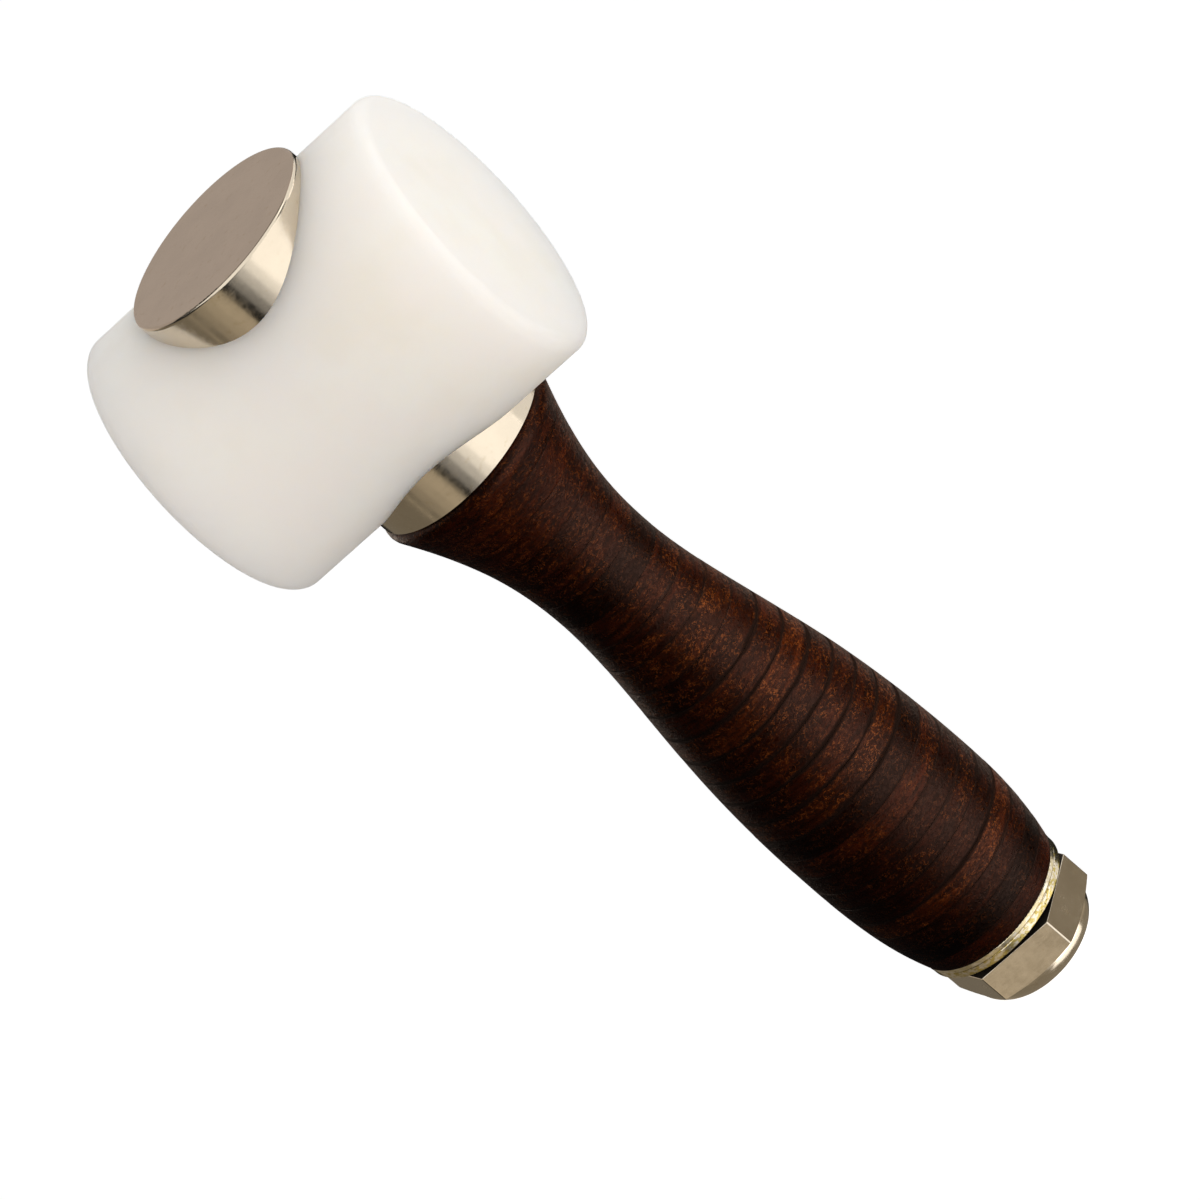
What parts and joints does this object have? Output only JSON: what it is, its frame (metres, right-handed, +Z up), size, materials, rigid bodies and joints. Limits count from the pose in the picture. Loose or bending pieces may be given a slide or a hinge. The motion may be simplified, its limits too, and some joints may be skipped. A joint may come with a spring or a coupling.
{
  "type": "leather craft mallet",
  "caption": "T-head mallet for tooling leather: white nylon head with flat striking ends, metal cap and collar, and a waisted grip of stacked leather discs clamped by a pommel nut.",
  "frame": {"origin": "middle of the pommel nut's flat end, the lowest point of the upright mallet", "axes": "+Z up along the handle towards the cap, +X along the head towards one striking face, +Y across both"},
  "size_m": [0.0608, 0.0508, 0.193],
  "materials": {
    "nylon": "solid white nylon with a soft satin sheen",
    "plated_metal": "turned and polished, warm nickel plating",
    "washer_metal": "nickel plating worn through to brass at the rim",
    "steel": "plain steel rod, out of sight",
    "leather_dark": "near-black brown leather edge, sanded and burnished",
    "leather_mid": "dark reddish brown leather edge, sanded and burnished",
    "leather_light": "orange brown leather edge, sanded and burnished"
  },
  "bodies": {
    "root": {"head_block": "nylon", "cap": "plated_metal", "collar": "plated_metal", "leather_disc_01": "leather_mid", "leather_disc_02": "leather_mid", "leather_disc_03": "leather_mid", "leather_disc_04": "leather_mid", "leather_disc_05": "leather_mid", "leather_disc_06": "leather_dark", "leather_disc_07": "leather_mid", "leather_disc_08": "leather_mid", "leather_disc_09": "leather_light", "leather_disc_10": "leather_mid", "leather_disc_11": "leather_mid", "leather_disc_12": "leather_light", "leather_disc_13": "leather_mid", "leather_disc_14": "leather_mid", "leather_disc_15": "leather_mid", "leather_disc_16": "leather_light", "leather_disc_17": "leather_dark", "leather_disc_18": "leather_mid", "leather_disc_19": "leather_dark", "leather_disc_20": "leather_mid", "leather_disc_21": "leather_dark", "leather_disc_22": "leather_light", "leather_disc_23": "leather_dark", "leather_disc_24": "leather_dark", "leather_disc_25": "leather_dark", "backing_washer": "washer_metal", "end_washer": "washer_metal", "pommel_nut": "plated_metal", "core_rod": "steel"}
  },
  "joints": []
}
